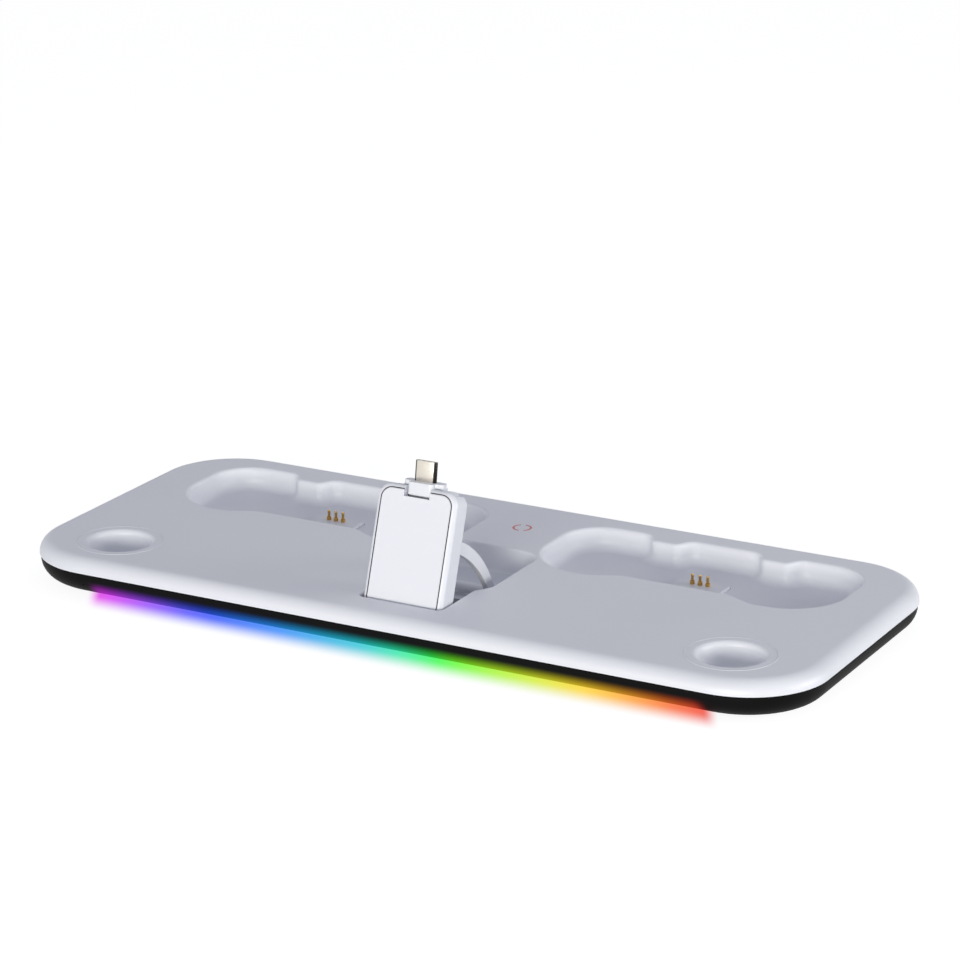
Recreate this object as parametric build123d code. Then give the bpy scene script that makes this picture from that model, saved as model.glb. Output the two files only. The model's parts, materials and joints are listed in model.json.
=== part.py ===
from build123d import *
import os
from math import atan2, cos, degrees, radians, sin, sqrt

os.makedirs("parts", exist_ok=True)

# Controller charging dock, in millimetres. X runs to the right, Y to the back, Z up.
# The origin is under the middle of the dock, on the surface that it stands on.

# Casing
width = 306.0
depth = 134.0
corner_r = 30.0          # plan corners
base_z = 1.2             # underside of the base, above the feet's soles
floor_z = 3.0            # upper face of the base's floor
part_z = 9.7             # joint line between the base and the top
top_z = 14.9             # flat top
wall = 2.0
top_round = 5.0          # upper edge of the white top
hull_round = 7.2         # lower edge of the black base
reveal = 0.4             # the base stands in from the top at the joint line
lip_drop = 1.8           # the top's lip reaches down inside the base
lip_wall = 1.2
fit_gap = 0.15           # between parts that are put together by hand
pocket_rim = 0.8         # round at the pocket's mouth
cradle_rim = 1.5         # round at a cradle's mouth

# Stand: a plate on a hinge at its foot, leaning back, with a prop leg behind it
hinge_y = -47.1
hinge_z = 10.9
lean = 18.0              # degrees from upright
plate_half = 15.5
plate_front = -4.0       # faces of the plate, measured back from the hinge
plate_back = 5.5
plate_top = 42.5         # above the hinge, along the plate
plate_corner = 5.0
plate_edge = 1.8         # round along the plate's front and back edges
panel_half = 13.6        # front panel, set in the plate and a little proud of it
panel_t = 1.6
panel_proud = 0.3
panel_low = 1.0
panel_high = 41.0
board_room = 7.6         # half-width of the space behind the panel
hinge_pin_r = 1.25
bearing_gap = 0.15       # round a turning pin

# Prop leg
leg_u = 24.0             # pivot, along the plate from the hinge
leg_w = 4.0              # pivot, behind the hinge
leg_length = 36.9
leg_fall = 42.9          # degrees below level when the stand is up
leg_bow = (1.2, 5.5)     # front and back edge of the arms, above the line from pivot to foot
leg_eye_r = 2.3
leg_pin_r = 1.0
leg_foot_r = 2.0
arm_inner = 11.4
arm_outer = 13.4
arm_gap = 0.4            # beside each arm in its channel
channel_front = -2.1     # front of the channels in the plate
channel_low = 19.5

# Tilting plug
plug_u = 36.3            # pivot, along the plate from the hinge
plug_w = 2.2             # pivot, behind the hinge
plug_forward = 10.0      # degrees that the plug stands forward of its plate
block_half = 7.6         # half-width of the collar and of the root in the plate
block_head = 4.7         # half-width of the head in the panel's notch
block_root_r = 2.2
block_front = -4.4       # measured from the pivot
block_back = 2.2
neck_front = -1.6        # of the part between the root and the collar
block_shoulder = 4.0
block_collar = 6.8
block_top = 8.4
block_gap = 0.3
axle_r = 1.2
axle_reach = 1.1         # out of each end of the root
notch_low = 38.7         # lower edge of the notch in the front panel
throat_front = -1.4      # front of the slot that the plug leans in, behind the hinge
plug_w_size = 8.3
plug_h_size = 2.5
plug_out = 7.1
plug_wall = 0.35

# Pocket that the stand folds into
pocket_front = -51.9
pocket_back = 16.4
pocket_neck = 16.3       # half-width beside the hinge
pocket_half = 20.3       # half-width behind it
pocket_widen = (-28.5, -22.5)  # where it widens
pocket_corner = 8.5
pocket_floor = 4.9
pocket_floor_t = 1.2
well_back = -14.5        # forward of this the pocket is open to the base

# Controller cradles
cradle_x = 74.5
cradle_half = 57.2
cradle_front = 5.4
cradle_back = 54.0
cradle_ridge = 48.0      # the two ridges of the back wall
cradle_floor = 6.6
cradle_floor_t = 1.6
cradle_sweep = 4.0       # round between a cradle's wall and floor

# Spring contacts
contact_y = 32.0
contact_pitch = 3.0
block_size = (20.0, 9.0)
flange_size = (26.0, 13.0)
flange_low = 4.0
block_rise = 7.6         # top of the contact block
barrel_r = 0.85
barrel_bore = 0.62
barrel_top = 8.8
pin_r = 0.5
pin_top = 11.4
pin_low = 7.0
board_t = 1.0

# Grip cups
cup_x = 120.6
cup_y = -42.5
cup_flange_r = 15.6
cup_flange_t = 1.0
cup_mouth_r = 12.3
cup_depth = 8.8
cup_wall = 1.4

# Touch key
touch_y = 38.8
touch_r = 3.2
touch_line = 0.8
touch_gap = 0.9          # half-width of the ring's two breaks
touch_turn = 20.0        # degrees that the breaks are turned by
touch_root = 0.6         # the ring is whole below the top's skin
touch_fit = 0.02         # round the ring in its opening

# Light bar
bar_half = 121.0
bar_high = 5.4
led_count = 20
led_size = (3.5, 1.0, 2.8)
led_z = 5.0
light_board_y = -57.9
light_board_t = 1.0
light_board_top = 8.0

# Power inlet, feet and screws
inlet_w = 8.94
inlet_h = 3.26
inlet_l = 7.3
inlet_wall = 0.3
inlet_inset = 1.6        # the inlet's mouth, in from the back of the top
inlet_floor = 0.8
tongue_size = (6.7, 0.7)
main_board_z = 3.8
main_board_t = 1.2
main_board_y = 42.0
main_board_size = (28.0, 40.0)
board_posts = [(x, y) for x in (-11.0, 11.0) for y in (25.0, 55.0)]
touch_board_size = 14.0
touch_board_t = 0.8
foot_spots = [(-124.0, -38.0), (124.0, -38.0), (124.0, 38.0), (-124.0, 38.0)]
foot_r = 7.0
foot_seat = 0.8
screw_spots = [(-141.0, 44.0), (141.0, 44.0), (-78.0, -52.0), (78.0, -52.0), (-30.0, 58.0), (30.0, 58.0)]
screw_head_r = 2.4
screw_r = 1.05
screw_top = 11.0
screw_seat = 1.0         # depth of a screw head's recess
boss_r = 3.2
post_top = 4.8

stand_place = Pos(0, hinge_y, hinge_z) * Rot(-lean, 0, 0)
plug_place = stand_place * Pos(0, plug_w, plug_u) * Rot(plug_forward, 0, 0)


def plan(inset):
    return RectangleRounded(width - 2 * inset, depth - 2 * inset, corner_r - inset)


def slab(sketch, low, high):
    return extrude(Pos(0, 0, low) * sketch, high - low)


def block(x_range, y_range, z_range):
    size = [high - low for low, high in (x_range, y_range, z_range)]
    middle = [(high + low) / 2 for low, high in (x_range, y_range, z_range)]
    return Pos(*middle) * Box(*size)


def post(x, y, radius, low, high):
    return Pos(x, y, (low + high) / 2) * Cylinder(radius, high - low)


def cross_rod(y, z, radius, half, middle=0.0):
    return Pos(middle, y, z) * Rot(0, 90, 0) * Cylinder(radius, 2 * half)


def bottom_edges(solid):
    return solid.edges().group_by(Axis.Z)[0]


def top_edges(solid):
    return solid.edges().group_by(Axis.Z)[-1]


def rounded_polygon(corners):
    face = Polygon(*[(x, y) for x, y, r in corners], align=None)
    for x, y, r in corners:
        face = fillet(face.vertices().sort_by_distance((x, y))[0], r)
    return face


def mirrored(corners):
    return corners + [(-x, y, r) for x, y, r in reversed(corners)]


def pocket_outline(grow):
    right = [
        (pocket_neck, pocket_front, 2.5),
        (pocket_neck, pocket_widen[0], 5.0),
        (pocket_half, pocket_widen[1], 5.0),
        (pocket_half, pocket_back, pocket_corner),
    ]
    return offset(rounded_polygon(mirrored(right)), grow)


def front_part(solid, back):
    reach = solid.bounding_box()
    return solid & block((-width, width), (-depth, back), (reach.min.Z - 1, reach.max.Z + 1))


def pocket():
    mouth = slab(pocket_outline(0), pocket_floor, top_z + 1)
    mouth = fillet(bottom_edges(mouth), 1.5)
    well = front_part(slab(pocket_outline(0), floor_z - 1, top_z), well_back)
    return mouth + well


def pocket_walls():
    tub = slab(pocket_outline(wall), pocket_floor - pocket_floor_t, top_z - wall / 2)
    skirt = front_part(slab(pocket_outline(wall), floor_z + fit_gap, top_z - wall), well_back + wall)
    return tub + skirt


def cradle_outline(grow):
    right = [
        (21.0, 10.5, 7.0),
        (31.0, cradle_front, 7.0),
        (cradle_half, cradle_front, 21.0),
        (cradle_half, cradle_back, 15.0),
        (30.0, cradle_back, 4.6),
        (26.5, cradle_ridge, 3.0),
        (16.5, cradle_ridge, 3.0),
        (13.0, cradle_back, 4.6),
    ]
    return offset(rounded_polygon(mirrored(right)), grow)


def cradle(side):
    hollow = slab(Pos(side * cradle_x, 0) * cradle_outline(0), cradle_floor, top_z + 1)
    return fillet(bottom_edges(hollow), cradle_sweep)


def cradle_walls(side):
    low = cradle_floor - cradle_floor_t
    return slab(Pos(side * cradle_x, 0) * cradle_outline(wall), low, top_z - wall / 2)


def screw_bosses():
    bosses = Part()
    for x, y in screw_spots:
        bosses += post(x, y, boss_r, post_top + fit_gap, top_z - wall / 2)
    return bosses


def lip():
    outer = wall + reveal + fit_gap
    ring = plan(outer) - plan(outer + lip_wall)
    return slab(ring, part_z - lip_drop, part_z + wall)


def touch_ring(grow=0.0, past=0.0):
    half_line = touch_line / 2 + grow
    ring = Pos(0, touch_y) * (Circle(touch_r + half_line) - Circle(touch_r - half_line))
    breaks = Rot(0, 0, touch_turn) * Rectangle(2 * (touch_gap - grow), 4 * touch_r)
    root = slab(ring, top_z - wall - past, top_z - wall + touch_root + grow)
    return root + slab(ring - Pos(0, touch_y) * breaks, top_z - wall, top_z + past)


def rimmed_skin(hollows):
    skin = slab(plan(0), part_z, top_z)
    skin = fillet(top_edges(skin), top_round)
    for hollow in hollows:
        skin -= hollow
    skin = fillet(pocket_mouth(skin), pocket_rim)
    return fillet(cradle_mouths(skin), cradle_rim)


def pocket_mouth(skin):
    edges = [edge for edge in top_edges(skin) if abs(edge.center().X) < pocket_half + 0.1]
    return [edge for edge in edges if pocket_front - 0.1 < edge.center().Y < pocket_back + 0.1]


def cradle_mouths(skin):
    edges = [edge for edge in top_edges(skin) if cradle_front - 0.1 < edge.center().Y < cradle_back + 0.1]
    edges = [edge for edge in edges if abs(abs(edge.center().X) - cradle_x) < cradle_half + 0.1]
    in_pocket = pocket_mouth(skin)
    return [edge for edge in edges if edge not in in_pocket]


def top_shell():
    hollows = [pocket(), cradle(-1), cradle(1)]
    walls = [pocket_walls(), cradle_walls(-1), cradle_walls(1)]
    inside = slab(plan(wall), part_z - 1, top_z - wall)
    shell = rimmed_skin(hollows) - chamfer(top_edges(inside), top_round - wall)
    shell += lip()
    shell += screw_bosses()
    for around in walls:
        for hollow in hollows:
            around -= hollow
        shell += around
    for side in (-1, 1):
        shell -= post(side * cup_x, cup_y, cup_flange_r + fit_gap, top_z - cup_flange_t, top_z + 1)
        shell -= post(side * cup_x, cup_y, cup_mouth_r + cup_wall + fit_gap, part_z, top_z)
        window = Pos(side * cradle_x, contact_y) * Rectangle(block_size[0] + 0.2, block_size[1] + 0.2)
        shell -= slab(window, flange_low, cradle_floor + 1)
        flange = Pos(side * cradle_x, contact_y) * Rectangle(flange_size[0] + 0.4, flange_size[1] + 0.4)
        shell -= slab(flange, floor_z, flange_low + board_t)
    for x, y in screw_spots:
        shell -= post(x, y, screw_r + 0.05, floor_z, screw_top + 0.5)
    shell -= cross_rod(hinge_y, hinge_z, hinge_pin_r + 0.02, pocket_neck + wall + 1)
    half = inlet_w / 2 + 1
    shell -= block((-half, half), (depth / 2 - 8, depth / 2), (part_z - lip_drop - 1, part_z))
    return shell - touch_ring(touch_fit, past=1.0)


def hull(inset):
    body = slab(plan(reveal + inset), base_z + inset, part_z)
    return fillet(bottom_edges(body), hull_round - inset)


def bar_section(grow):
    y = -depth / 2 + reveal + hull_round
    z = base_z + hull_round
    ring = Pos(y, z) * (Circle(hull_round) - Circle(hull_round - wall))
    size = (hull_round + grow, bar_high - base_z + grow)
    return ring & Pos(y - hull_round, base_z) * Rectangle(*size, align=Align.MIN)


def light_bar(grow=0.0):
    half = bar_half + grow
    return extrude(Plane.YZ.offset(-half) * bar_section(grow), 2 * half)


def stadium(length, height):
    return SlotOverall(length, height)


def inlet_section(grow):
    outline = stadium(inlet_w + grow, inlet_h + grow)
    return Plane.XZ * Pos(0, main_board_z + main_board_t + inlet_h / 2) * outline


def base_shell():
    cavity = slab(plan(reveal + wall), floor_z, part_z + 1)
    cavity = fillet(bottom_edges(cavity), hull_round - wall)
    shell = hull(0) - cavity
    for x, y in screw_spots:
        shell += post(x, y, boss_r + 0.4, floor_z - 0.5, post_top)
    for x, y in board_posts:
        shell += post(x, y, 1.8, floor_z - 0.5, main_board_z)
    for x, y in screw_spots:
        shell -= post(x, y, screw_head_r + 0.2, 0, base_z + screw_seat)
        shell -= post(x, y, screw_r + 0.3, 0, post_top + 1)
    for x, y in foot_spots:
        shell -= post(x, y, foot_r + 0.1, 0, base_z + foot_seat)
    shell -= light_bar(fit_gap)
    shell -= extrude(inlet_section(0.5), -depth / 2)
    return shell


def cup_section():
    low = top_z - cup_depth
    throat_r = cup_mouth_r - 1.0
    throat_z = top_z - 1.6
    drop = throat_z - low
    bowl_r = (throat_r ** 2 + drop ** 2) / (2 * drop)
    middle = low + bowl_r
    outer_r = sqrt((bowl_r + cup_wall) ** 2 - (middle - throat_z) ** 2)
    flange_z = top_z - cup_flange_t
    rim = Polyline((outer_r, throat_z), (outer_r, flange_z), (cup_flange_r, flange_z),
                   (cup_flange_r, top_z - 0.25), (cup_flange_r - 0.25, top_z), (cup_mouth_r + 0.6, top_z))
    mouth = RadiusArc((cup_mouth_r + 0.6, top_z), (throat_r, throat_z), -1.9)
    bowl = CenterArc((0, middle), bowl_r, -90, degrees(atan2(throat_z - middle, throat_r)) + 90)
    under = CenterArc((0, middle), bowl_r + cup_wall, -90, degrees(atan2(throat_z - middle, outer_r)) + 90)
    spine = Line((0, low), (0, low - cup_wall))
    return make_face([*rim.edges(), mouth.edge(), bowl.edge(), spine.edge(), under.edge()])


def grip_cup(side):
    return Pos(side * cup_x, cup_y) * revolve(Plane.XZ * cup_section(), Axis.Z)


def contact_block(side):
    body = slab(RectangleRounded(*block_size, 1.5), flange_low, block_rise)
    body = chamfer(top_edges(body), 0.5)
    body += slab(RectangleRounded(*flange_size, 1.5), flange_low, flange_low + board_t)
    body = Pos(side * cradle_x, contact_y) * body
    for x in contact_xs(side):
        body -= post(x, contact_y, barrel_r, floor_z, top_z)
    return body


def contact_xs(side):
    return [side * cradle_x + step * contact_pitch for step in (-1, 0, 1)]


def contact_barrel(x):
    barrel = post(x, contact_y, barrel_r, flange_low, barrel_top)
    return barrel - post(x, contact_y, barrel_bore, flange_low + 0.5, top_z)


def contact_pin(x):
    pin = post(x, contact_y, pin_r, pin_low, pin_top)
    return chamfer(top_edges(pin), pin_r / 2)


def contact_board(side):
    outline = Pos(side * cradle_x, contact_y) * RectangleRounded(32.0, 12.0, 1.0)
    return slab(outline, flange_low - board_t, flange_low)


def plate_outline(half, low, high, corner):
    return rounded_polygon(mirrored([(half, low, 2.0), (half, high, corner)]))


def upright(outline, front, back):
    return extrude(Plane.XZ.offset(-back) * outline, back - front)


def plate():
    body = upright(plate_outline(plate_half, plate_front, plate_top, plate_corner), plate_front, plate_back)
    body = fillet(body.faces().sort_by(Axis.Y)[-1].edges(), plate_edge)
    body = fillet(body.faces().sort_by(Axis.Y)[0].edges(), plate_edge)
    foot = [(plate_front, 0), (-plate_front, 0), (plate_back, 3.0)]
    side_view = Polygon(*foot, (plate_back, plate_top), (plate_front, plate_top), align=None)
    rise = extrude(Plane.YZ.offset(-plate_half) * side_view, 2 * plate_half)
    return body & (rise + cross_rod(0, 0, -plate_front, plate_half))


def panel(grow):
    outline = plate_outline(panel_half + grow, panel_low - grow, panel_high + grow, plate_corner - 1.1)
    face = plate_front - panel_proud
    return upright(outline, face, face + panel_t)


def plug_slot():
    half = block_half + block_gap
    head = block_head + block_gap
    root = cross_rod(plug_w, plug_u, block_root_r + block_gap + 0.1, half)
    throat_back = plug_w + block_back + block_gap
    throat = block((-half, half), (throat_front, throat_back), (plug_u, plate_top + 1))
    notch = block((-head, head), (2 * plate_front, plug_w), (notch_low, plate_top + 1))
    return root + throat + notch


def stand_body():
    panel_back = plate_front - panel_proud + panel_t
    body = plate() - panel(fit_gap / 2) - plug_slot()
    body -= block((-board_room, board_room), (panel_back - 0.1, leg_w - 1.0), (4.0, 30.8))
    for side in (-1, 1):
        inner, outer = sorted((side * (arm_inner - arm_gap), side * (arm_outer + arm_gap)))
        body -= block((inner, outer), (channel_front, plate_back + 1), (channel_low, plate_top + 1))
    body -= cross_rod(0, 0, hinge_pin_r + bearing_gap, plate_half + 1)
    body -= cross_rod(leg_w, leg_u, leg_pin_r + 0.01, arm_outer + 1.6)
    body -= cross_rod(plug_w, plug_u, axle_r + bearing_gap, block_half + axle_reach + 0.1)
    return stand_place * body


def stand_front():
    face = panel(0)
    face = chamfer(face.faces().sort_by(Axis.Y)[0].edges(), 0.25)
    return stand_place * (face - plug_slot())


def stand_board():
    return stand_place * block((-6.5, 6.5), (-2.0, -1.0), (5.0, 30.0))


def leg_pin(side):
    inner = arm_inner - 1.0
    outer = arm_outer + 1.6
    return stand_place * cross_rod(leg_w, leg_u, leg_pin_r, (outer - inner) / 2, side * (outer + inner) / 2)


def leg_side_view(top, foot):
    along = Vector(foot[0] - top[0], foot[1] - top[1]).normalized()
    out = Vector(-along.Y, along.X)
    ends = [Vector(*top), Vector(*foot)]
    middle = (ends[0] + ends[1]) / 2
    front = [ends[0] - out * leg_eye_r, middle + out * leg_bow[0], ends[1] - out * leg_foot_r]
    back = [ends[1] + out * leg_foot_r, middle + out * leg_bow[1], ends[0] + out * leg_eye_r]
    edges = [ThreePointArc(*front), Line(front[2], back[0]), ThreePointArc(*back), Line(back[2], front[0])]
    arm = make_face([edge.edge() for edge in edges])
    arm += Pos(*foot) * Circle(leg_foot_r)
    arm += Pos(*top) * Circle(leg_eye_r)
    return arm - Pos(*top) * Circle(leg_pin_r + bearing_gap)


def prop_leg():
    pivot = stand_place * Pos(0, leg_w, leg_u)
    top = (pivot.position.Y, pivot.position.Z)
    fall = radians(leg_fall)
    foot = (top[0] + leg_length * cos(fall), top[1] - leg_length * sin(fall))
    side_view = leg_side_view(top, foot)
    leg = cross_rod(*foot, leg_foot_r, arm_outer)
    for low in (-arm_outer, arm_inner):
        leg += extrude(Plane.YZ.offset(low) * side_view, arm_outer - arm_inner)
    return leg


def plug_block():
    head = block((-block_head, block_head), (block_front, block_back), (block_shoulder, block_top))
    head = fillet(head.edges().filter_by(Axis.Z), 1.2)
    collar = block((-block_half, block_half), (neck_front - 0.2, block_back), (block_collar, block_top))
    collar = fillet(collar.edges().filter_by(Axis.Z), 1.2)
    neck = block((-block_half, block_half), (neck_front, block_back), (0, block_collar))
    root = cross_rod(0, 0, block_root_r, block_half) + cross_rod(0, 0, axle_r, block_half + axle_reach)
    return plug_place * (head + collar + neck + root)


def plug_shell():
    outer = stadium(plug_w_size, plug_h_size)
    bore = stadium(plug_w_size - 2 * plug_wall, plug_h_size - 2 * plug_wall)
    return plug_place * slab(outer - bore, block_top, block_top + plug_out)


def plug_liner():
    outline = stadium(plug_w_size - 2 * plug_wall, plug_h_size - 2 * plug_wall)
    liner = slab(outline, block_top, block_top + plug_out - 0.3)
    slot = slab(Rectangle(6.6, 0.8), block_top + 1.2, block_top + plug_out)
    return plug_place * (liner - slot)


def light_board():
    y_range = (light_board_y - light_board_t / 2, light_board_y + light_board_t / 2)
    return block((-bar_half + 2, bar_half - 2), y_range, (floor_z, light_board_top))


def light_leds():
    first = -bar_half + 6
    step = -2 * first / (led_count - 1)
    y = light_board_y - light_board_t / 2 - led_size[1] / 2
    leds = [Pos(first + step * number, y, led_z) * Box(*led_size) for number in range(led_count)]
    return Compound(children=leds)


def main_board():
    outline = Pos(0, main_board_y) * RectangleRounded(*main_board_size, 1.5)
    return slab(outline, main_board_z, main_board_z + main_board_t)


def charge_parts():
    top = main_board_z + main_board_t
    parts = [
        block((-4, 4), (34, 42), (top, top + 1.0)),
        block((-12, -6), (44, 50), (top, top + 3.0)),
        block((6, 12), (44, 50), (top, top + 3.0)),
        post(-9.0, 32.0, 2.5, top, top + 4.0),
        post(9.0, 32.0, 2.5, top, top + 4.0),
    ]
    return Compound(children=parts)


def touch_board():
    outline = Pos(0, touch_y) * RectangleRounded(touch_board_size, touch_board_size, 1.0)
    return slab(outline, top_z - wall - touch_board_t, top_z - wall)


def inlet_shell():
    mouth = Pos(0, depth / 2 - inlet_inset, 0)
    shell = extrude(mouth * inlet_section(0), inlet_l)
    return shell - extrude(mouth * inlet_section(-2 * inlet_wall), inlet_l - inlet_floor)


def inlet_tongue():
    mouth = depth / 2 - inlet_inset
    length = inlet_l - 2 * inlet_floor
    z = main_board_z + main_board_t + inlet_h / 2
    return Pos(0, mouth - inlet_l / 2, z) * Box(tongue_size[0], length, tongue_size[1])


def rubber_foot(x, y):
    foot = post(x, y, foot_r, 0, base_z + foot_seat)
    return chamfer(bottom_edges(foot), 0.5)


def case_screws():
    screws = []
    seat = base_z + screw_seat
    for x, y in screw_spots:
        head = post(x, y, screw_head_r, base_z + 0.1, seat)
        screws.append(head + post(x, y, screw_r, seat, screw_top))
    return Compound(children=screws)


parts = {
    "top_shell": top_shell(),
    "base_shell": base_shell(),
    "light_bar": light_bar(),
    "light_board": light_board(),
    "light_leds": light_leds(),
    "main_board": main_board(),
    "charge_parts": charge_parts(),
    "touch_ring": touch_ring(),
    "touch_board": touch_board(),
    "inlet_shell": inlet_shell(),
    "inlet_tongue": inlet_tongue(),
    "case_screws": case_screws(),
    "hinge_pin": cross_rod(hinge_y, hinge_z, hinge_pin_r, pocket_neck + wall - 0.2),
    "stand_body": stand_body(),
    "stand_front": stand_front(),
    "stand_board": stand_board(),
    "prop_leg": prop_leg(),
    "plug_block": plug_block(),
    "plug_shell": plug_shell(),
    "plug_liner": plug_liner(),
}
for side, label in ((-1, "left"), (1, "right")):
    parts[f"grip_cup_{label}"] = grip_cup(side)
    parts[f"leg_pin_{label}"] = leg_pin(side)
    parts[f"contact_block_{label}"] = contact_block(side)
    parts[f"contact_board_{label}"] = contact_board(side)
for number, x in enumerate(contact_xs(-1) + contact_xs(1), start=1):
    parts[f"contact_barrel_{number}"] = contact_barrel(x)
    parts[f"contact_pin_{number}"] = contact_pin(x)
for number, (x, y) in enumerate(foot_spots, start=1):
    parts[f"foot_{number}"] = rubber_foot(x, y)

for name, solid in parts.items():
    export_step(solid, f"parts/{name}.step")
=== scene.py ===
import bmesh
import bpy
import json
from math import copysign, cos, pi, radians, sin
from mathutils import Matrix, Vector


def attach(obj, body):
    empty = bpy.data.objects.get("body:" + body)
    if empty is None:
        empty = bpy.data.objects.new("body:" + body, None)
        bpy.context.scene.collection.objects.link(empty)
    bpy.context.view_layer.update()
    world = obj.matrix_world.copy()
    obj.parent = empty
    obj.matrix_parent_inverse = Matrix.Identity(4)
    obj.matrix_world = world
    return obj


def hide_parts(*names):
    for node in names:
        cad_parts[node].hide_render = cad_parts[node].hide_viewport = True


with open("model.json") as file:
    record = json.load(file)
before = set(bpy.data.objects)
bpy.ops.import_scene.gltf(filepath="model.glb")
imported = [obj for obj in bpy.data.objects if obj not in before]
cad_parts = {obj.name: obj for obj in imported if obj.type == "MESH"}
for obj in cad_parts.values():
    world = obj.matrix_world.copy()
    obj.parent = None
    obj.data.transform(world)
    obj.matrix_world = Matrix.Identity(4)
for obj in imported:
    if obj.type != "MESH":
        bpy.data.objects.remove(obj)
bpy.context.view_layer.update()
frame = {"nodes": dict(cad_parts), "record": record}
nodes = frame["nodes"]
mm = 0.001
mergeGap = 1e-6  # points nearer than this are one
bumpShare = 0.25  # how much of the grain shows as bump

print("frame loaded:", len(nodes), "nodes")


def hexColour(text):
    # sRGB hex to linear RGBA
    parts = [int(text[i:i + 2], 16) / 255 for i in (1, 3, 5)]
    return [c / 12.92 if c <= 0.04045 else ((c + 0.055) / 1.055) ** 2.4 for c in parts] + [1.0]


def addNode(tree, kind, settings=None, values=None, links=None):
    node = tree.nodes.new(kind)
    for name, value in (settings or {}).items():
        setattr(node, name, value)
    for name, value in (values or {}).items():
        node.inputs[name].default_value = value
    for name, source in (links or {}).items():
        tree.links.new(source, node.inputs[name])
    return node


def newMaterial(name):
    material = bpy.data.materials.new(name)
    material.use_nodes = True
    tree = material.node_tree
    tree.nodes.clear()
    output = addNode(tree, "ShaderNodeOutputMaterial")
    return material, tree, output


def ramp(node, stops):
    elements = node.color_ramp.elements
    while len(elements) < len(stops):
        elements.new(0.5)
    for element, (place, colour) in zip(elements, stops):
        element.position = place
        element.color = colour


# Moulded plastics and rubbers. Spark-eroded tools leave an even grain finer than a pixel, drawn here at the
# grain size given, so that it just breaks up the sheen; the colour drifts a little over the cloud size.
mouldings = {
    # White ABS, satin: soft broad highlight.
    "white_plastic": {"name": "satinWhiteAbs", "colour": "#E9EAEE", "shade": "#E3E5EA", "roughness": 0.42,
                      "ior": 1.53, "specular": 0.5, "grainMm": 0.5, "grainDepth": 0.02, "cloudMm": 60.0},
    # Black ABS, matte texture: dull sheen, no clear reflection.
    "black_plastic": {"name": "matteBlackAbs", "colour": "#070708", "shade": "#050506", "roughness": 0.55,
                      "ior": 1.53, "specular": 0.07, "grainMm": 0.5, "grainDepth": 0.04, "cloudMm": 30.0},
    # Epoxy moulding compound, dull.
    "chip_black": {"name": "mouldedEpoxy", "colour": "#202022", "shade": "#1A1A1B", "roughness": 0.5,
                   "ior": 1.55, "specular": 0.4, "grainMm": 0.3, "grainDepth": 0.02, "cloudMm": 4.0},
    # Milky silicone lens, smooth.
    "led_white": {"name": "milkyLedResin", "colour": "#EFEDE2", "shade": "#E6E3D4", "roughness": 0.25,
                  "ior": 1.41, "specular": 0.5, "grainMm": 0.5, "grainDepth": 0.01, "cloudMm": 2.0},
    # Silicone rubber, dusty and dull.
    "rubber": {"name": "siliconeRubber", "colour": "#232324", "shade": "#1A1A1B", "roughness": 0.72,
               "ior": 1.41, "specular": 0.4, "grainMm": 0.6, "grainDepth": 0.05, "cloudMm": 8.0},
    # Solder mask on glass epoxy: glossy green with the weave faint below it.
    "circuit_board": {"name": "greenSolderMask", "colour": "#1E5A38", "shade": "#184C30", "roughness": 0.35,
                      "ior": 1.55, "specular": 0.5, "grainMm": 1.2, "grainDepth": 0.02, "cloudMm": 12.0},
}


def makeMoulding(settings):
    material, tree, output = newMaterial(settings["name"])
    place = addNode(tree, "ShaderNodeTexCoord").outputs["Object"]
    grain = addNode(tree, "ShaderNodeTexNoise",
                    values={"Scale": 1 / (settings["grainMm"] * mm), "Detail": 2.0},
                    links={"Vector": place})
    cloud = addNode(tree, "ShaderNodeTexNoise",
                    values={"Scale": 1 / (settings["cloudMm"] * mm), "Detail": 1.0},
                    links={"Vector": place})
    tint = addNode(tree, "ShaderNodeMix", {"data_type": "RGBA"},
                   {6: hexColour(settings["colour"]), 7: hexColour(settings["shade"])},
                   {0: cloud.outputs["Fac"]})
    rough = addNode(tree, "ShaderNodeMapRange", values={"To Min": settings["roughness"] - 0.05,
                                                      "To Max": settings["roughness"] + 0.05},
                    links={"Value": grain.outputs["Fac"]})
    bump = addNode(tree, "ShaderNodeBump",
                   values={"Strength": bumpShare, "Distance": settings["grainDepth"] * mm},
                   links={"Height": grain.outputs["Fac"]})
    shader = addNode(tree, "ShaderNodeBsdfPrincipled",
                     values={"IOR": settings["ior"], "Specular IOR Level": settings["specular"]},
                     links={"Base Color": tint.outputs[2], "Roughness": rough.outputs["Result"],
                            "Normal": bump.outputs["Normal"]})
    tree.links.new(shader.outputs["BSDF"], output.inputs["Surface"])
    return material


# Plated metals: fine tarnish clouds in the roughness.
platings = {
    # Warm small glints.
    "gold_plate": {"name": "goldPlatedBrass", "colour": "#C29B58", "roughness": 0.22, "cloudMm": 0.6},
    # Pale warm sheen, with painted shade along the round ends.
    "nickel_plate": {"name": "satinNickelPlate", "colour": "#D6D0C6", "roughness": 0.3, "cloudMm": 1.2,
                     "ends": "#2E2C29", "endsFrom": (3.0, 3.5)},
    # Cool grey sheen.
    "steel": {"name": "zincPlatedSteel", "colour": "#A9ABAD", "roughness": 0.38, "cloudMm": 1.5},
}


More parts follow.
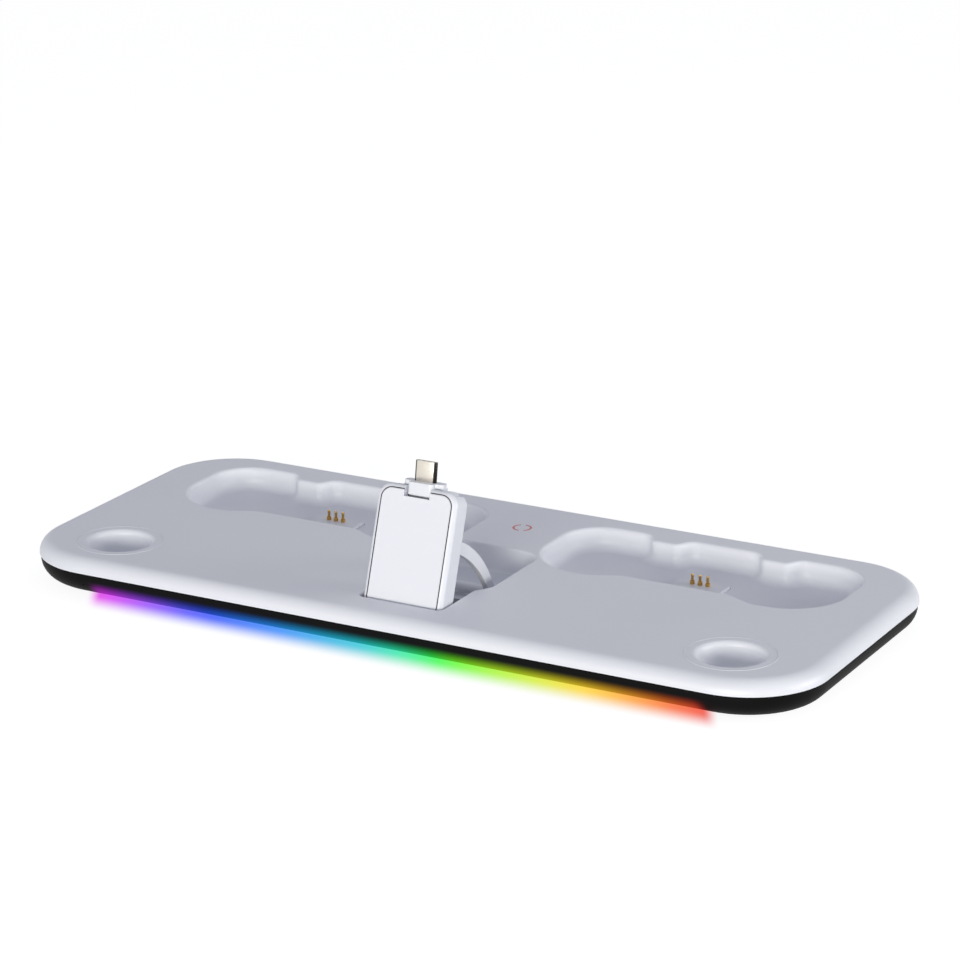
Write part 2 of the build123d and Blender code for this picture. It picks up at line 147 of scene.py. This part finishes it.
def makePlating(settings):
    material, tree, output = newMaterial(settings["name"])
    place = addNode(tree, "ShaderNodeTexCoord").outputs["Object"]
    cloud = addNode(tree, "ShaderNodeTexNoise",
                    values={"Scale": 1 / (settings["cloudMm"] * mm), "Detail": 3.0},
                    links={"Vector": place})
    rough = addNode(tree, "ShaderNodeMapRange", values={"To Min": settings["roughness"] - 0.07,
                                                      "To Max": settings["roughness"] + 0.07},
                    links={"Value": cloud.outputs["Fac"]})
    shader = addNode(tree, "ShaderNodeBsdfPrincipled",
                     values={"Base Color": hexColour(settings["colour"]), "Metallic": 1.0},
                     links={"Roughness": rough.outputs["Result"]})
    if "ends" in settings:
        # painted shade along the drawn shells' round ends
        low, high = settings["endsFrom"]
        split = addNode(tree, "ShaderNodeSeparateXYZ", links={"Vector": place})
        side = addNode(tree, "ShaderNodeMath", {"operation": "ABSOLUTE"}, links={0: split.outputs["X"]})
        near = addNode(tree, "ShaderNodeMapRange", {"interpolation_type": "SMOOTHSTEP"},
                       {"From Min": low * mm, "From Max": high * mm}, {"Value": side.outputs[0]})
        tint = addNode(tree, "ShaderNodeMix", {"data_type": "RGBA"},
                       {6: hexColour(settings["colour"]), 7: hexColour(settings["ends"])},
                       {0: near.outputs["Result"]})
        tree.links.new(tint.outputs[2], shader.inputs["Base Color"])
    tree.links.new(shader.outputs["BSDF"], output.inputs["Surface"])
    return material


# Hues of the light bar, at places along it in mm from its middle.
rainbow = [(-121, "#EC18EC"), (-98, "#9C46F4"), (-82, "#5450F6"), (-70, "#1C56F4"), (-43, "#1690F4"),
           (-11, "#10C8D8"), (5, "#1CE6AC"), (20, "#2CF446"), (28, "#70F414"), (44, "#B4F014"),
           (60, "#DCE81C"), (75, "#F8D61C"), (91, "#F8AC1C"), (107, "#F4721A"), (121, "#F03C28")]
lightBar = {"ends": (-119.5, 123.0), "endFade": 6.0, "darkZ": 7.4, "brightZ": 2.4, "strength": 0.5,
            "frontY": -56.0}


def rainbowAlong(tree, place, ends):
    # colour along the bar, and how far a place is inside its two soft ends
    left, right = ends
    fade = lightBar["endFade"]
    first, last = rainbow[0][0], rainbow[-1][0]
    split = addNode(tree, "ShaderNodeSeparateXYZ", links={"Vector": place})
    along = addNode(tree, "ShaderNodeMapRange", values={"From Min": first * mm, "From Max": last * mm},
                    links={"Value": split.outputs["X"]})
    colours = addNode(tree, "ShaderNodeValToRGB", links={"Fac": along.outputs["Result"]})
    ramp(colours, [((x - first) / (last - first), hexColour(text)) for x, text in rainbow])
    fromLeft = addNode(tree, "ShaderNodeMapRange", {"interpolation_type": "SMOOTHSTEP"},
                       {"From Min": left * mm, "From Max": (left + fade) * mm}, {"Value": split.outputs["X"]})
    fromRight = addNode(tree, "ShaderNodeMapRange", {"interpolation_type": "SMOOTHSTEP"},
                        {"From Min": right * mm, "From Max": (right - fade) * mm},
                        {"Value": split.outputs["X"]})
    inside = addNode(tree, "ShaderNodeMath", {"operation": "MULTIPLY"},
                     links={0: fromLeft.outputs["Result"], 1: fromRight.outputs["Result"]})
    return split, colours.outputs["Color"], inside.outputs[0]


# The lit front of the base. The guide is smoked acrylic lit from its lower edge. On the black ABS hull above it the
# bar's glow is painted light, drawn as emission, so one run of colour fades over the two.
def makeLitFront(name, settings):
    material, tree, output = newMaterial(name)
    place = addNode(tree, "ShaderNodeTexCoord").outputs["Object"]
    split, colour, ends = rainbowAlong(tree, place, lightBar["ends"])
    rise = addNode(tree, "ShaderNodeMapRange", {"interpolation_type": "SMOOTHSTEP"},
                   {"From Min": lightBar["darkZ"] * mm, "From Max": lightBar["brightZ"] * mm,
                    "To Max": lightBar["strength"]},
                   {"Value": split.outputs["Z"]})
    front = addNode(tree, "ShaderNodeMath", {"operation": "LESS_THAN"}, {1: lightBar["frontY"] * mm},
                    {0: split.outputs["Y"]})
    inside = addNode(tree, "ShaderNodeMath", {"operation": "MULTIPLY"},
                     links={0: rise.outputs["Result"], 1: ends})
    glow = addNode(tree, "ShaderNodeMath", {"operation": "MULTIPLY"},
                   links={0: inside.outputs[0], 1: front.outputs[0]})
    grain = addNode(tree, "ShaderNodeTexNoise",
                    values={"Scale": 1 / (settings["grainMm"] * mm), "Detail": 2.0},
                    links={"Vector": place})
    cloud = addNode(tree, "ShaderNodeTexNoise",
                    values={"Scale": 1 / (settings["cloudMm"] * mm), "Detail": 1.0},
                    links={"Vector": place})
    tint = addNode(tree, "ShaderNodeMix", {"data_type": "RGBA"},
                   {6: hexColour(settings["colour"]), 7: hexColour(settings["shade"])},
                   {0: cloud.outputs["Fac"]})
    bump = addNode(tree, "ShaderNodeBump",
                   values={"Strength": bumpShare, "Distance": settings["grainDepth"] * mm},
                   links={"Height": grain.outputs["Fac"]})
    shader = addNode(tree, "ShaderNodeBsdfPrincipled",
                     values={"Roughness": settings["roughness"], "IOR": settings["ior"],
                             "Specular IOR Level": settings["specular"]},
                     links={"Base Color": tint.outputs[2], "Normal": bump.outputs["Normal"],
                            "Emission Color": colour,
                            "Emission Strength": glow.outputs[0]})
    tree.links.new(shader.outputs["BSDF"], output.inputs["Surface"])
    return material


# Red light pipe in clear polycarbonate, lit from below, a little uneven along the ring.
touchKey = {"colour": "#A80C2A", "bright": 0.22, "dim": 0.10, "roughness": 0.35, "cloudMm": 2.0}


def makeLightPipe(settings):
    material, tree, output = newMaterial("redPolycarbonateLightPipe")
    place = addNode(tree, "ShaderNodeTexCoord").outputs["Object"]
    cloud = addNode(tree, "ShaderNodeTexNoise", values={"Scale": 1 / (settings["cloudMm"] * mm)},
                    links={"Vector": place})
    glow = addNode(tree, "ShaderNodeMapRange",
                   values={"To Min": settings["dim"], "To Max": settings["bright"]},
                   links={"Value": cloud.outputs["Fac"]})
    shader = addNode(tree, "ShaderNodeBsdfPrincipled",
                     values={"Base Color": hexColour(settings["colour"]), "Roughness": settings["roughness"],
                             "IOR": 1.58, "Emission Color": hexColour(settings["colour"])},
                     links={"Emission Strength": glow.outputs["Result"]})
    tree.links.new(shader.outputs["BSDF"], output.inputs["Surface"])
    return material


finishes = {"light_diffuser": makeLitFront("smokedAcrylicLightGuide", mouldings["black_plastic"]),
            "red_light_pipe": makeLightPipe(touchKey)}
for slotName, settings in mouldings.items():
    finishes[slotName] = makeMoulding(settings)
for slotName, settings in platings.items():
    finishes[slotName] = makePlating(settings)

for part in frame["record"]["subparts"]:
    mesh = nodes[part["node"]].data
    mesh.materials.clear()
    mesh.materials.append(finishes[part["material_slot"]])
# painted glow: the light bar's colours painted as emission on the black hull's front face
nodes["base_shell"].data.materials[0] = makeLitFront("matteBlackAbsPaintedGlow", mouldings["black_plastic"])
print("finishes set:", len(finishes))


def newPiece(name, work, slotName, body, smoothAngle=35.0):
    bmesh.ops.recalc_face_normals(work, faces=work.faces)
    mesh = bpy.data.meshes.new(name)
    work.to_mesh(mesh)
    work.free()
    mesh.materials.append(finishes[slotName])
    mesh.shade_smooth()
    mesh.set_sharp_from_angle(angle=radians(smoothAngle))
    piece = bpy.data.objects.new(name, mesh)
    bpy.context.scene.collection.objects.link(piece)
    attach(piece, body)
    return piece


def spinProfile(work, profile, x, y, steps):
    # profile is (radius, height) in mm, turned about the upright axis at x, y
    points = [work.verts.new(((x + r) * mm, y * mm, z * mm)) for r, z in profile]
    edges = [work.edges.new(pair) for pair in zip(points, points[1:])]
    bmesh.ops.spin(work, geom=points + edges, cent=(x * mm, y * mm, 0.0), axis=(0.0, 0.0, 1.0),
                   angle=2 * pi, steps=steps,
                   use_merge=True)
    bmesh.ops.remove_doubles(work, verts=work.verts, dist=mergeGap)


def pushFaces(work, faces, move):
    made = bmesh.ops.extrude_face_region(work, geom=faces)["geom"]
    bmesh.ops.translate(work, verts=[g for g in made if isinstance(g, bmesh.types.BMVert)], vec=move)


def roundEdges(work, size, segments, sharper=40.0):
    bmesh.ops.recalc_face_normals(work, faces=work.faces)
    work.normal_update()
    sharp = [e for e in work.edges if len(e.link_faces) == 2 and e.calc_face_angle() > radians(sharper)]
    bmesh.ops.bevel(work, geom=sharp, offset=size * mm, offset_type="OFFSET", segments=segments, profile=0.5,
                    affect="EDGES", clamp_overlap=True, material=-1)


# Spring contacts: a plunger with a rounded nose in a turned barrel with a rolled lip.
springContact = {"xs": (-77.5, -74.5, -71.5, 71.5, 74.5, 77.5), "y": 32.0, "pinR": 0.5, "pinTop": 11.4,
                 "pinLow": 7.0, "nose": 0.34, "barrelR": 0.85, "bore": 0.62, "barrelTop": 8.8,
                 "barrelLow": 4.0, "boreLow": 4.5, "lip": 0.09, "noseSteps": 5, "lipSteps": 3, "steps": 32}


def makeContacts(s):
    for number, x in enumerate(s["xs"], start=1):
        work = bmesh.new()
        spinProfile(work,
                    [(0, s["pinTop"]), (s["pinR"], s["pinTop"]), (s["pinR"], s["pinLow"]), (0, s["pinLow"])],
                    x, s["y"], s["steps"])
        roundEdges(work, s["nose"], s["noseSteps"])
        pin = newPiece(f"springPin_{number}", work, "gold_plate", f"contact_pin_{number}")
        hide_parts(f"contact_pin_{number}")
        work = bmesh.new()
        spinProfile(work, [(0, s["boreLow"]), (s["bore"], s["boreLow"]), (s["bore"], s["barrelTop"]),
                           (s["barrelR"], s["barrelTop"]), (s["barrelR"], s["barrelLow"]),
                           (0, s["barrelLow"])],
                    x, s["y"], s["steps"])
        roundEdges(work, s["lip"], s["lipSteps"])
        barrel = newPiece(f"pinBarrel_{number}", work, "gold_plate", "dock")
        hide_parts(f"contact_barrel_{number}")
    print("spring contacts made:", len(s["xs"]))


makeContacts(springContact)

# Rubber feet: a round sole with two grip grooves.
rubberFoot = {"spots": ((-124.0, -38.0), (124.0, -38.0), (124.0, 38.0), (-124.0, 38.0)), "radius": 7.0,
              "top": 2.0, "edge": 0.5, "grooves": (2.4, 4.7), "grooveWide": 0.7, "grooveDeep": 0.45,
              "soft": 0.12, "softSteps": 2, "steps": 64}


def makeFeet(s):
    sole = [(0, 0)]
    for r in s["grooves"]:
        sole += [(r, 0), (r, s["grooveDeep"]), (r + s["grooveWide"], s["grooveDeep"]),
                 (r + s["grooveWide"], 0)]
    sole += [(s["radius"] - s["edge"], 0), (s["radius"], s["edge"]), (s["radius"], s["top"]), (0, s["top"])]
    for number, (x, y) in enumerate(s["spots"], start=1):
        work = bmesh.new()
        spinProfile(work, sole, x, y, s["steps"])
        roundEdges(work, s["soft"], s["softSteps"])
        foot = newPiece(f"rubberFoot_{number}", work, "rubber", "dock")
        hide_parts(f"foot_{number}")
    print("feet made:", len(s["spots"]))


makeFeet(rubberFoot)

# Pan-head screws with a cross recess, up into the casing from below.
caseScrew = {"spots": ((-141.0, 44.0), (141.0, 44.0), (-78.0, -52.0), (78.0, -52.0), (-30.0, 58.0),
                       (30.0, 58.0)),
             "headR": 2.4, "faceR": 2.0, "low": 1.3, "seat": 2.2, "shankR": 1.05, "top": 11.0,
             "crossArm": 1.15, "crossWide": 0.28, "crossDeep": 0.55, "soft": 0.08, "softSteps": 2,
             "rimSteps": 36}


def growRing(work, edges, radius, z):
    made = bmesh.ops.extrude_edge_only(work, edges=edges)["geom"]
    verts = {g for g in made if isinstance(g, bmesh.types.BMVert)}
    for v in verts:
        out = Vector((v.co.x, v.co.y)).normalized() * radius * mm
        v.co = (out.x, out.y, z * mm)
    return list({e for v in verts for e in v.link_edges if verts.issuperset(e.verts)})


def addScrew(work, s, x, y):
    older = set(work.verts)
    arm, wide = s["crossArm"] * mm, s["crossWide"] * mm
    grid = bmesh.ops.create_grid(work, x_segments=3, y_segments=3, size=arm)["verts"]
    for v in grid:
        for k in (0, 1):
            if abs(v.co[k]) < 0.9 * arm:
                v.co[k] = copysign(wide, v.co[k])
    cells = {f for v in grid for f in v.link_faces}
    cross = [f for f in cells if min(abs(c) for c in f.calc_center_median()[:2]) < 0.5 * wide]
    pushFaces(work, cross, (0, 0, s["crossDeep"] * mm))
    bmesh.ops.delete(work, geom=[f for f in cross if f.is_valid], context="FACES_ONLY")
    edges = {e for v in work.verts if v not in older for e in v.link_edges}
    rim = [e for e in edges if len(e.link_faces) == 1]
    circle = bmesh.ops.create_circle(work, cap_ends=False, radius=s["faceR"] * mm,
                                     segments=s["rimSteps"])["verts"]
    face = list({e for v in circle for e in v.link_edges})
    bmesh.ops.bridge_loops(work, edges=rim + face)
    bmesh.ops.translate(work, verts=[v for v in work.verts if v not in older], vec=(0, 0, s["low"] * mm))
    ring = growRing(work, face, s["headR"], s["low"] + s["headR"] - s["faceR"])
    for radius, z in ((s["headR"], s["seat"]), (s["shankR"], s["seat"]), (s["shankR"], s["top"])):
        ring = growRing(work, ring, radius, z)
    bmesh.ops.contextual_create(work, geom=ring)
    bmesh.ops.translate(work, verts=[v for v in work.verts if v not in older], vec=(x * mm, y * mm, 0))


def makeScrews(s):
    work = bmesh.new()
    for x, y in s["spots"]:
        addScrew(work, s, x, y)
    roundEdges(work, s["soft"], s["softSteps"])
    screws = newPiece("caseScrews", work, "steel", "dock")
    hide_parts("case_screws")
    print("screws made:", len(s["spots"]))


makeScrews(caseScrew)


def stadiumLoop(work, radius, flat, z, segments=40):
    verts = bmesh.ops.create_circle(work, cap_ends=False, radius=radius * mm, segments=segments)["verts"]
    bmesh.ops.rotate(work, verts=verts, cent=(0, 0, 0), matrix=Matrix.Rotation(pi / segments, 3, "Z"))
    for v in verts:
        v.co.x += copysign(flat * mm, v.co.x)
        v.co.z = z * mm
    return list({e for v in verts for e in v.link_edges})


def bridgeAll(work, loops):
    for low, high in zip(loops, loops[1:]):
        bmesh.ops.bridge_loops(work, edges=low + high)


# Reversible plug: a drawn nickel-plated shell with a rounded mouth, and two rows of gold fingers in its slot.
reversiblePlug = {"hinge": (0.0, -47.1, 10.9), "lean": 18.0, "pivot": (0.0, 2.2, 36.3), "forward": 10.0,
                  "low": 8.4, "high": 15.5, "radius": 1.25, "flat": 2.9, "wall": 0.35, "mouth": 0.13,
                  "mouthSteps": 3}
plugFinger = {"count": 12, "pitch": 0.5, "half": 0.13, "low": 10.4, "high": 14.6, "wallY": 0.4,
              "crown": 0.14, "thick": 0.06}


def standPlace(s):
    return Matrix.Translation(Vector(s["hinge"]) * mm) @ Matrix.Rotation(radians(-s["lean"]), 4, "X")


def plugPlace(s):
    pivot = Matrix.Translation(Vector(s["pivot"]) * mm)
    return standPlace(s) @ pivot @ Matrix.Rotation(radians(s["forward"]), 4, "X")


def makePlug(s, finger):
    work = bmesh.new()
    inner = s["radius"] - s["wall"]
    rings = ((s["radius"], s["low"]), (s["radius"], s["high"]), (inner, s["high"]), (inner, s["low"]))
    loops = [stadiumLoop(work, radius, s["flat"], z) for radius, z in rings]
    bridgeAll(work, loops + loops[:1])
    roundEdges(work, s["mouth"], s["mouthSteps"])
    bmesh.ops.transform(work, matrix=plugPlace(s), verts=work.verts)
    shell = newPiece("plugShell", work, "nickel_plate", "plug")
    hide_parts("plug_shell")
    work = bmesh.new()
    length = finger["high"] - finger["low"]
    for side in (-1, 1):
        for number in range(finger["count"]):
            strip = bmesh.ops.create_grid(work, x_segments=1, y_segments=6, size=0.5)["verts"]
            for v in strip:
                v.co = ((2 * v.co.x * finger["half"] + (number - (finger["count"] - 1) / 2) * finger["pitch"]) * mm,
                        side * (finger["wallY"] - finger["crown"] * cos(pi * v.co.y)) * mm,
                        (finger["low"] + (v.co.y + 0.5) * length) * mm)
    bmesh.ops.recalc_face_normals(work, faces=work.faces)
    bmesh.ops.solidify(work, geom=work.faces, thickness=finger["thick"] * mm)
    bmesh.ops.transform(work, matrix=plugPlace(s), verts=work.verts)
    newPiece("plugFingers", work, "gold_plate", "plug")
    print("plug made")


makePlug(reversiblePlug, plugFinger)

# Power inlet in the back: a drawn shell with a rounded mouth, gold pads on both faces of its tongue.
powerInlet = {"backY": 58.1, "middleZ": 6.63, "length": 7.3, "floor": 0.8, "radius": 1.63, "flat": 2.84,
              "wall": 0.3, "mouth": 0.12, "mouthSteps": 3}
inletPad = {"count": 12, "pitch": 0.5, "half": 0.14, "yRange": (60.4, 64.3), "tongueHalf": 0.35,
            "proud": 0.04}


def makeInlet(s, pad):
    work = bmesh.new()
    inner = s["radius"] - s["wall"]
    rings = ((s["radius"], 0.0), (s["radius"], s["length"]), (inner, s["length"]), (inner, s["floor"]))
    loops = [stadiumLoop(work, radius, s["flat"], z) for radius, z in rings]
    bridgeAll(work, loops)
    for loop in (loops[0], loops[-1]):
        bmesh.ops.contextual_create(work, geom=loop)
    roundEdges(work, s["mouth"], s["mouthSteps"])
    turn = Matrix.Rotation(radians(-90), 4, "X")
    place = Matrix.Translation((0, s["backY"] * mm, s["middleZ"] * mm)) @ turn
    bmesh.ops.transform(work, matrix=place, verts=work.verts)
    shell = newPiece("inletShell", work, "nickel_plate", "dock")
    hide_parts("inlet_shell")
    work = bmesh.new()
    low, high = pad["yRange"]
    for side in (-1, 1):
        for number in range(pad["count"]):
            strip = bmesh.ops.create_grid(work, x_segments=1, y_segments=1, size=0.5)["verts"]
            for v in strip:
                v.co = ((2 * v.co.x * pad["half"] + (number - (pad["count"] - 1) / 2) * pad["pitch"]) * mm,
                        (low + (v.co.y + 0.5) * (high - low)) * mm,
                        (s["middleZ"] + side * pad["tongueHalf"]) * mm)
            pushFaces(work, strip[0].link_faces[:], (0, 0, side * pad["proud"] * mm))
    newPiece("inletPads", work, "gold_plate", "dock")
    print("inlet made")


makeInlet(powerInlet, inletPad)

# Mouldings whose edges the tool leaves softly rounded.
softEdges = {"prop_leg": {"piece": "propLeg", "body": "leg", "round": 0.45, "steps": 3, "flatAngle": 0.5},
             "plug_block": {"piece": "plugBlock", "body": "plug", "round": 0.3, "steps": 3, "flatAngle": 0.5}}


def softenEdges(nodeName, s):
    work = bmesh.new()
    work.from_mesh(nodes[nodeName].data)
    bmesh.ops.remove_doubles(work, verts=work.verts, dist=mergeGap)
    bmesh.ops.dissolve_limit(work, angle_limit=radians(s["flatAngle"]), verts=work.verts, edges=work.edges)
    roundEdges(work, s["round"], s["steps"])
    piece = newPiece(s["piece"], work, "white_plastic", s["body"])
    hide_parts(nodeName)


for nodeName, settings in softEdges.items():
    softenEdges(nodeName, settings)
print("soft edges made:", len(softEdges))

# Light bead around each grip cup, in the joint between cup and shell.
cupBead = {"xs": (-120.6, 120.6), "y": -42.5, "steps": 96,
           "section": ((15.40, 14.92), (15.46, 15.0), (15.67, 15.0), (15.73, 14.92), (15.73, 14.7),
                       (15.62, 14.7))}


def makeCupBeads(s):
    for label, x in zip(("left", "right"), s["xs"]):
        work = bmesh.new()
        spinProfile(work, s["section"] + s["section"][:1], x, s["y"], s["steps"])
        newPiece(f"cupBead_{label}", work, "white_plastic", "dock")
    print("cup beads made:", len(s["xs"]))


makeCupBeads(cupBead)

# Painted shade: a dark strip standing for the shadow in the seam around the stand's front panel, open at the plug's
# notch.
panelSeamShadeStrip = {"half": 13.62, "low": 1.0, "high": 41.0, "topCorner": 3.9, "lowCorner": 2.0, "notchHalf": 5.1,
             "wide": 0.3, "front": -4.14, "back": -3.99, "arcSteps": 8}


def seamShadePath(s):
    # places (x, up) along the right half from the notch down, each with its outward direction
    path = [((s["notchHalf"], s["high"]), (0, 1))]
    for radius, up, start in ((s["topCorner"], s["high"] - s["topCorner"], 90),
                              (s["lowCorner"], s["low"] + s["lowCorner"], 0)):
        for step in range(s["arcSteps"] + 1):
            turn = radians(start - 90 * step / s["arcSteps"])
            out = (cos(turn), sin(turn))
            path.append(((s["half"] - radius + radius * out[0], up + radius * out[1]), out))
    return path + [((-x, up), (-outX, outUp)) for (x, up), (outX, outUp) in reversed(path)]


def makeSeamShadeStrip(s):
    path = seamShadePath(s)
    work = bmesh.new()
    strip = bmesh.ops.create_grid(work, x_segments=len(path) - 1, y_segments=1, size=0.5)["verts"]
    for v in strip:
        (x, up), (outX, outUp) = path[round((v.co.x + 0.5) * (len(path) - 1))]
        away = s["wide"] * (v.co.y + 0.5)
        v.co = ((x + away * outX) * mm, s["back"] * mm, (up + away * outUp) * mm)
    pushFaces(work, work.faces[:], (0, (s["front"] - s["back"]) * mm, 0))
    bmesh.ops.transform(work, matrix=standPlace(reversiblePlug), verts=work.verts)
    # painted shade: dark strip where the panel's seam lies in shadow
    newPiece("panelSeamShadeStrip", work, "rubber", "stand")
    print("panel seam shade strip made")


makeSeamShadeStrip(panelSeamShadeStrip)

# Floor, with the coloured spill of the light bar painted into its colour. What the camera sees is mostly the
# floor's own white, so that the background stays white, with a share of real light in it that keeps the shadow.
floor = {"half": 6.0, "colour": "#FFFFFF", "litShare": 0.30, "ownLight": 0.89, "spillNear": -60.0,
         "spillFar": -74.5, "spillBack": -40.0, "spillEnds": (-123.5, 124.5), "spillLean": 0.54,
         "spillDepth": 0.9}


def shownRays(tree):
    # 1 where the camera sees a place, straight, mirrored or through something clear
    path = addNode(tree, "ShaderNodeLightPath")
    seen = addNode(tree, "ShaderNodeMath", {"operation": "MAXIMUM"},
                   links={0: path.outputs["Is Camera Ray"], 1: path.outputs["Is Glossy Ray"]})
    shown = addNode(tree, "ShaderNodeMath", {"operation": "MAXIMUM"},
                    links={0: seen.outputs[0], 1: path.outputs["Is Transmission Ray"]})
    return shown.outputs[0]


def makeFloor(settings):
    work = bmesh.new()
    bmesh.ops.create_grid(work, x_segments=1, y_segments=1, size=settings["half"])
    mesh = bpy.data.meshes.new("floor")
    work.to_mesh(mesh)
    work.free()
    plane = bpy.data.objects.new("floor", mesh)
    bpy.context.scene.collection.objects.link(plane)
    material, tree, output = newMaterial("whitePaperSweepPaintedSpill")
    place = addNode(tree, "ShaderNodeTexCoord").outputs["Object"]
    spot = addNode(tree, "ShaderNodeSeparateXYZ", links={"Vector": place})
    ahead = addNode(tree, "ShaderNodeMath", {"operation": "SUBTRACT"}, {1: settings["spillNear"] * mm},
                    {0: spot.outputs["Y"]})
    lean = addNode(tree, "ShaderNodeMath", {"operation": "MULTIPLY_ADD"}, {1: settings["spillLean"]},
                   {0: ahead.outputs[0], 2: spot.outputs["X"]})
    leant = addNode(tree, "ShaderNodeCombineXYZ", links={"X": lean.outputs[0], "Y": spot.outputs["Y"]})
    split, colour, ends = rainbowAlong(tree, leant.outputs["Vector"], settings["spillEnds"])
    near = addNode(tree, "ShaderNodeMapRange", {"interpolation_type": "SMOOTHSTEP"},
                   {"From Min": settings["spillFar"] * mm, "From Max": settings["spillNear"] * mm,
                    "To Max": settings["spillDepth"]},
                   {"Value": split.outputs["Y"]})
    front = addNode(tree, "ShaderNodeMath", {"operation": "LESS_THAN"}, {1: settings["spillBack"] * mm},
                    {0: split.outputs["Y"]})
    inside = addNode(tree, "ShaderNodeMath", {"operation": "MULTIPLY"},
                     links={0: near.outputs["Result"], 1: ends})
    spill = addNode(tree, "ShaderNodeMath", {"operation": "MULTIPLY"},
                    links={0: inside.outputs[0], 1: front.outputs[0]})
    # painted light: the bar's spill colour mixed into the floor's own colour
    tint = addNode(tree, "ShaderNodeMix", {"data_type": "RGBA"}, {6: hexColour(settings["colour"])},
                   {0: spill.outputs[0], 7: colour})
    lit = addNode(tree, "ShaderNodeBsdfDiffuse", links={"Color": tint.outputs[2]})
    own = addNode(tree, "ShaderNodeEmission", values={"Strength": settings["ownLight"]},
                  links={"Color": tint.outputs[2]})
    dark = addNode(tree, "ShaderNodeBsdfDiffuse", values={"Color": (0, 0, 0, 1)})
    share = addNode(tree, "ShaderNodeMixShader", values={0: settings["litShare"]},
                    links={1: dark.outputs[0], 2: lit.outputs[0]})
    both = addNode(tree, "ShaderNodeAddShader", links={0: share.outputs[0], 1: own.outputs[0]})
    choose = addNode(tree, "ShaderNodeMixShader",
                     links={0: shownRays(tree), 1: lit.outputs[0], 2: both.outputs[0]})
    tree.links.new(choose.outputs[0], output.inputs["Surface"])
    mesh.materials.append(material)


makeFloor(floor)

# Lamps: a long low strip in front, another on the right, a cool dim sky.
lamps = {
    "frontLight": {"place": (0.28, -1.65, 0.26), "aim": (0.0, 0.0, 0.02), "wide": 1.2, "tall": 0.38,
                   "power": 19.8,
                   "colour": "#FFFDF6"},
    "rightLight": {"place": (1.00, 0.28, 0.20), "aim": (0.05, 0.0, 0.02), "wide": 0.6, "tall": 0.3,
                   "power": 4.4,
                   "colour": "#FFFEFA"},
}
sky = {"colour": "#DCE0F4", "strength": 0.42}


def makeLamps():
    for name, settings in lamps.items():
        data = bpy.data.lights.new(name, "AREA")
        data.shape = "RECTANGLE"
        data.size, data.size_y = settings["wide"], settings["tall"]
        data.energy = settings["power"]
        data.color = hexColour(settings["colour"])[:3]
        lamp = bpy.data.objects.new(name, data)
        lamp.location = settings["place"]
        aim = Vector(settings["aim"]) - Vector(settings["place"])
        lamp.rotation_euler = aim.to_track_quat("-Z", "Y").to_euler()
        bpy.context.scene.collection.objects.link(lamp)


def makeSky():
    world = bpy.data.worlds.new("studio")
    world.use_nodes = True
    tree = world.node_tree
    tree.nodes.clear()
    output = addNode(tree, "ShaderNodeOutputWorld")
    light = addNode(tree, "ShaderNodeBackground",
                    values={"Color": hexColour(sky["colour"]), "Strength": sky["strength"]})
    white = addNode(tree, "ShaderNodeBackground", values={"Color": (1, 1, 1, 1), "Strength": 1.0})
    choose = addNode(tree, "ShaderNodeMixShader",
                     links={0: shownRays(tree), 1: light.outputs[0], 2: white.outputs[0]})
    tree.links.new(choose.outputs[0], output.inputs["Surface"])
    bpy.context.scene.world = world


makeLamps()
makeSky()

# Camera at the photograph's angle, a long lens.
view = {"azimuth": 28.37, "elevation": 18.05, "distance": 1.415, "aim": (-0.05961, 0.11695, 0.00146),
        "lens": 136.15}


def makeCamera(settings):
    data = bpy.data.cameras.new("camera")
    data.lens = settings["lens"]
    data.sensor_width = 36.0
    camera = bpy.data.objects.new("camera", data)
    turn, rise = radians(settings["azimuth"]), radians(settings["elevation"])
    back = Vector((sin(turn) * cos(rise), -cos(turn) * cos(rise), sin(rise)))
    camera.location = Vector(settings["aim"]) + back * settings["distance"]
    camera.rotation_euler = (-back).to_track_quat("-Z", "Y").to_euler()
    bpy.context.scene.collection.objects.link(camera)
    bpy.context.scene.camera = camera


makeCamera(view)
bpy.context.scene.view_settings.view_transform = "Standard"
print("stage, lamps and camera set")
